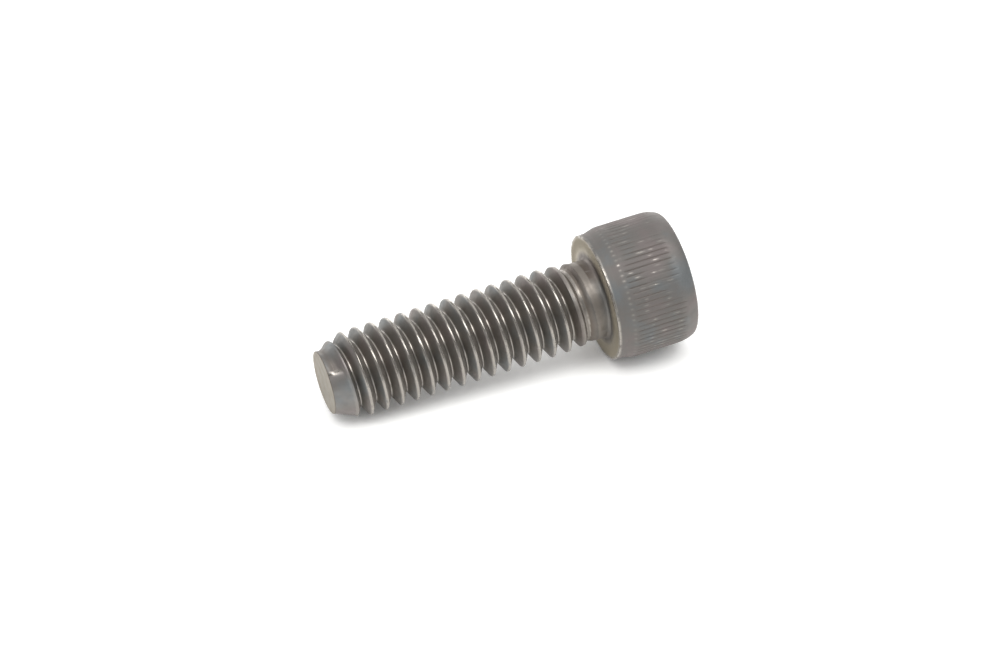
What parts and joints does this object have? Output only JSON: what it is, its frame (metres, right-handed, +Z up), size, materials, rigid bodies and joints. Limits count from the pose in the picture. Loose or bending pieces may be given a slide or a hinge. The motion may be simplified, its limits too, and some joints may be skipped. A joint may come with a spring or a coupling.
{
  "type": "socket head cap screw",
  "caption": "Knurled cylindrical head with a hexagon socket on a right-hand threaded shank with a chamfered point; clamps parts by screwing into a tapped hole.",
  "frame": {"origin": "middle of the screw's footprint on the surface that it lies on, at surface height", "axes": "+X along the screw from its point to its head, +Z up from the surface; the screw's own axis leans up to the head by 4.9 degrees, because the head is wider than the thread"},
  "size_m": [0.0334, 0.012, 0.0122],
  "materials": {
    "oxide_steel": "worn black-oxide alloy steel, satin"
  },
  "bodies": {
    "root": {"cap_screw": "oxide_steel"}
  },
  "joints": []
}
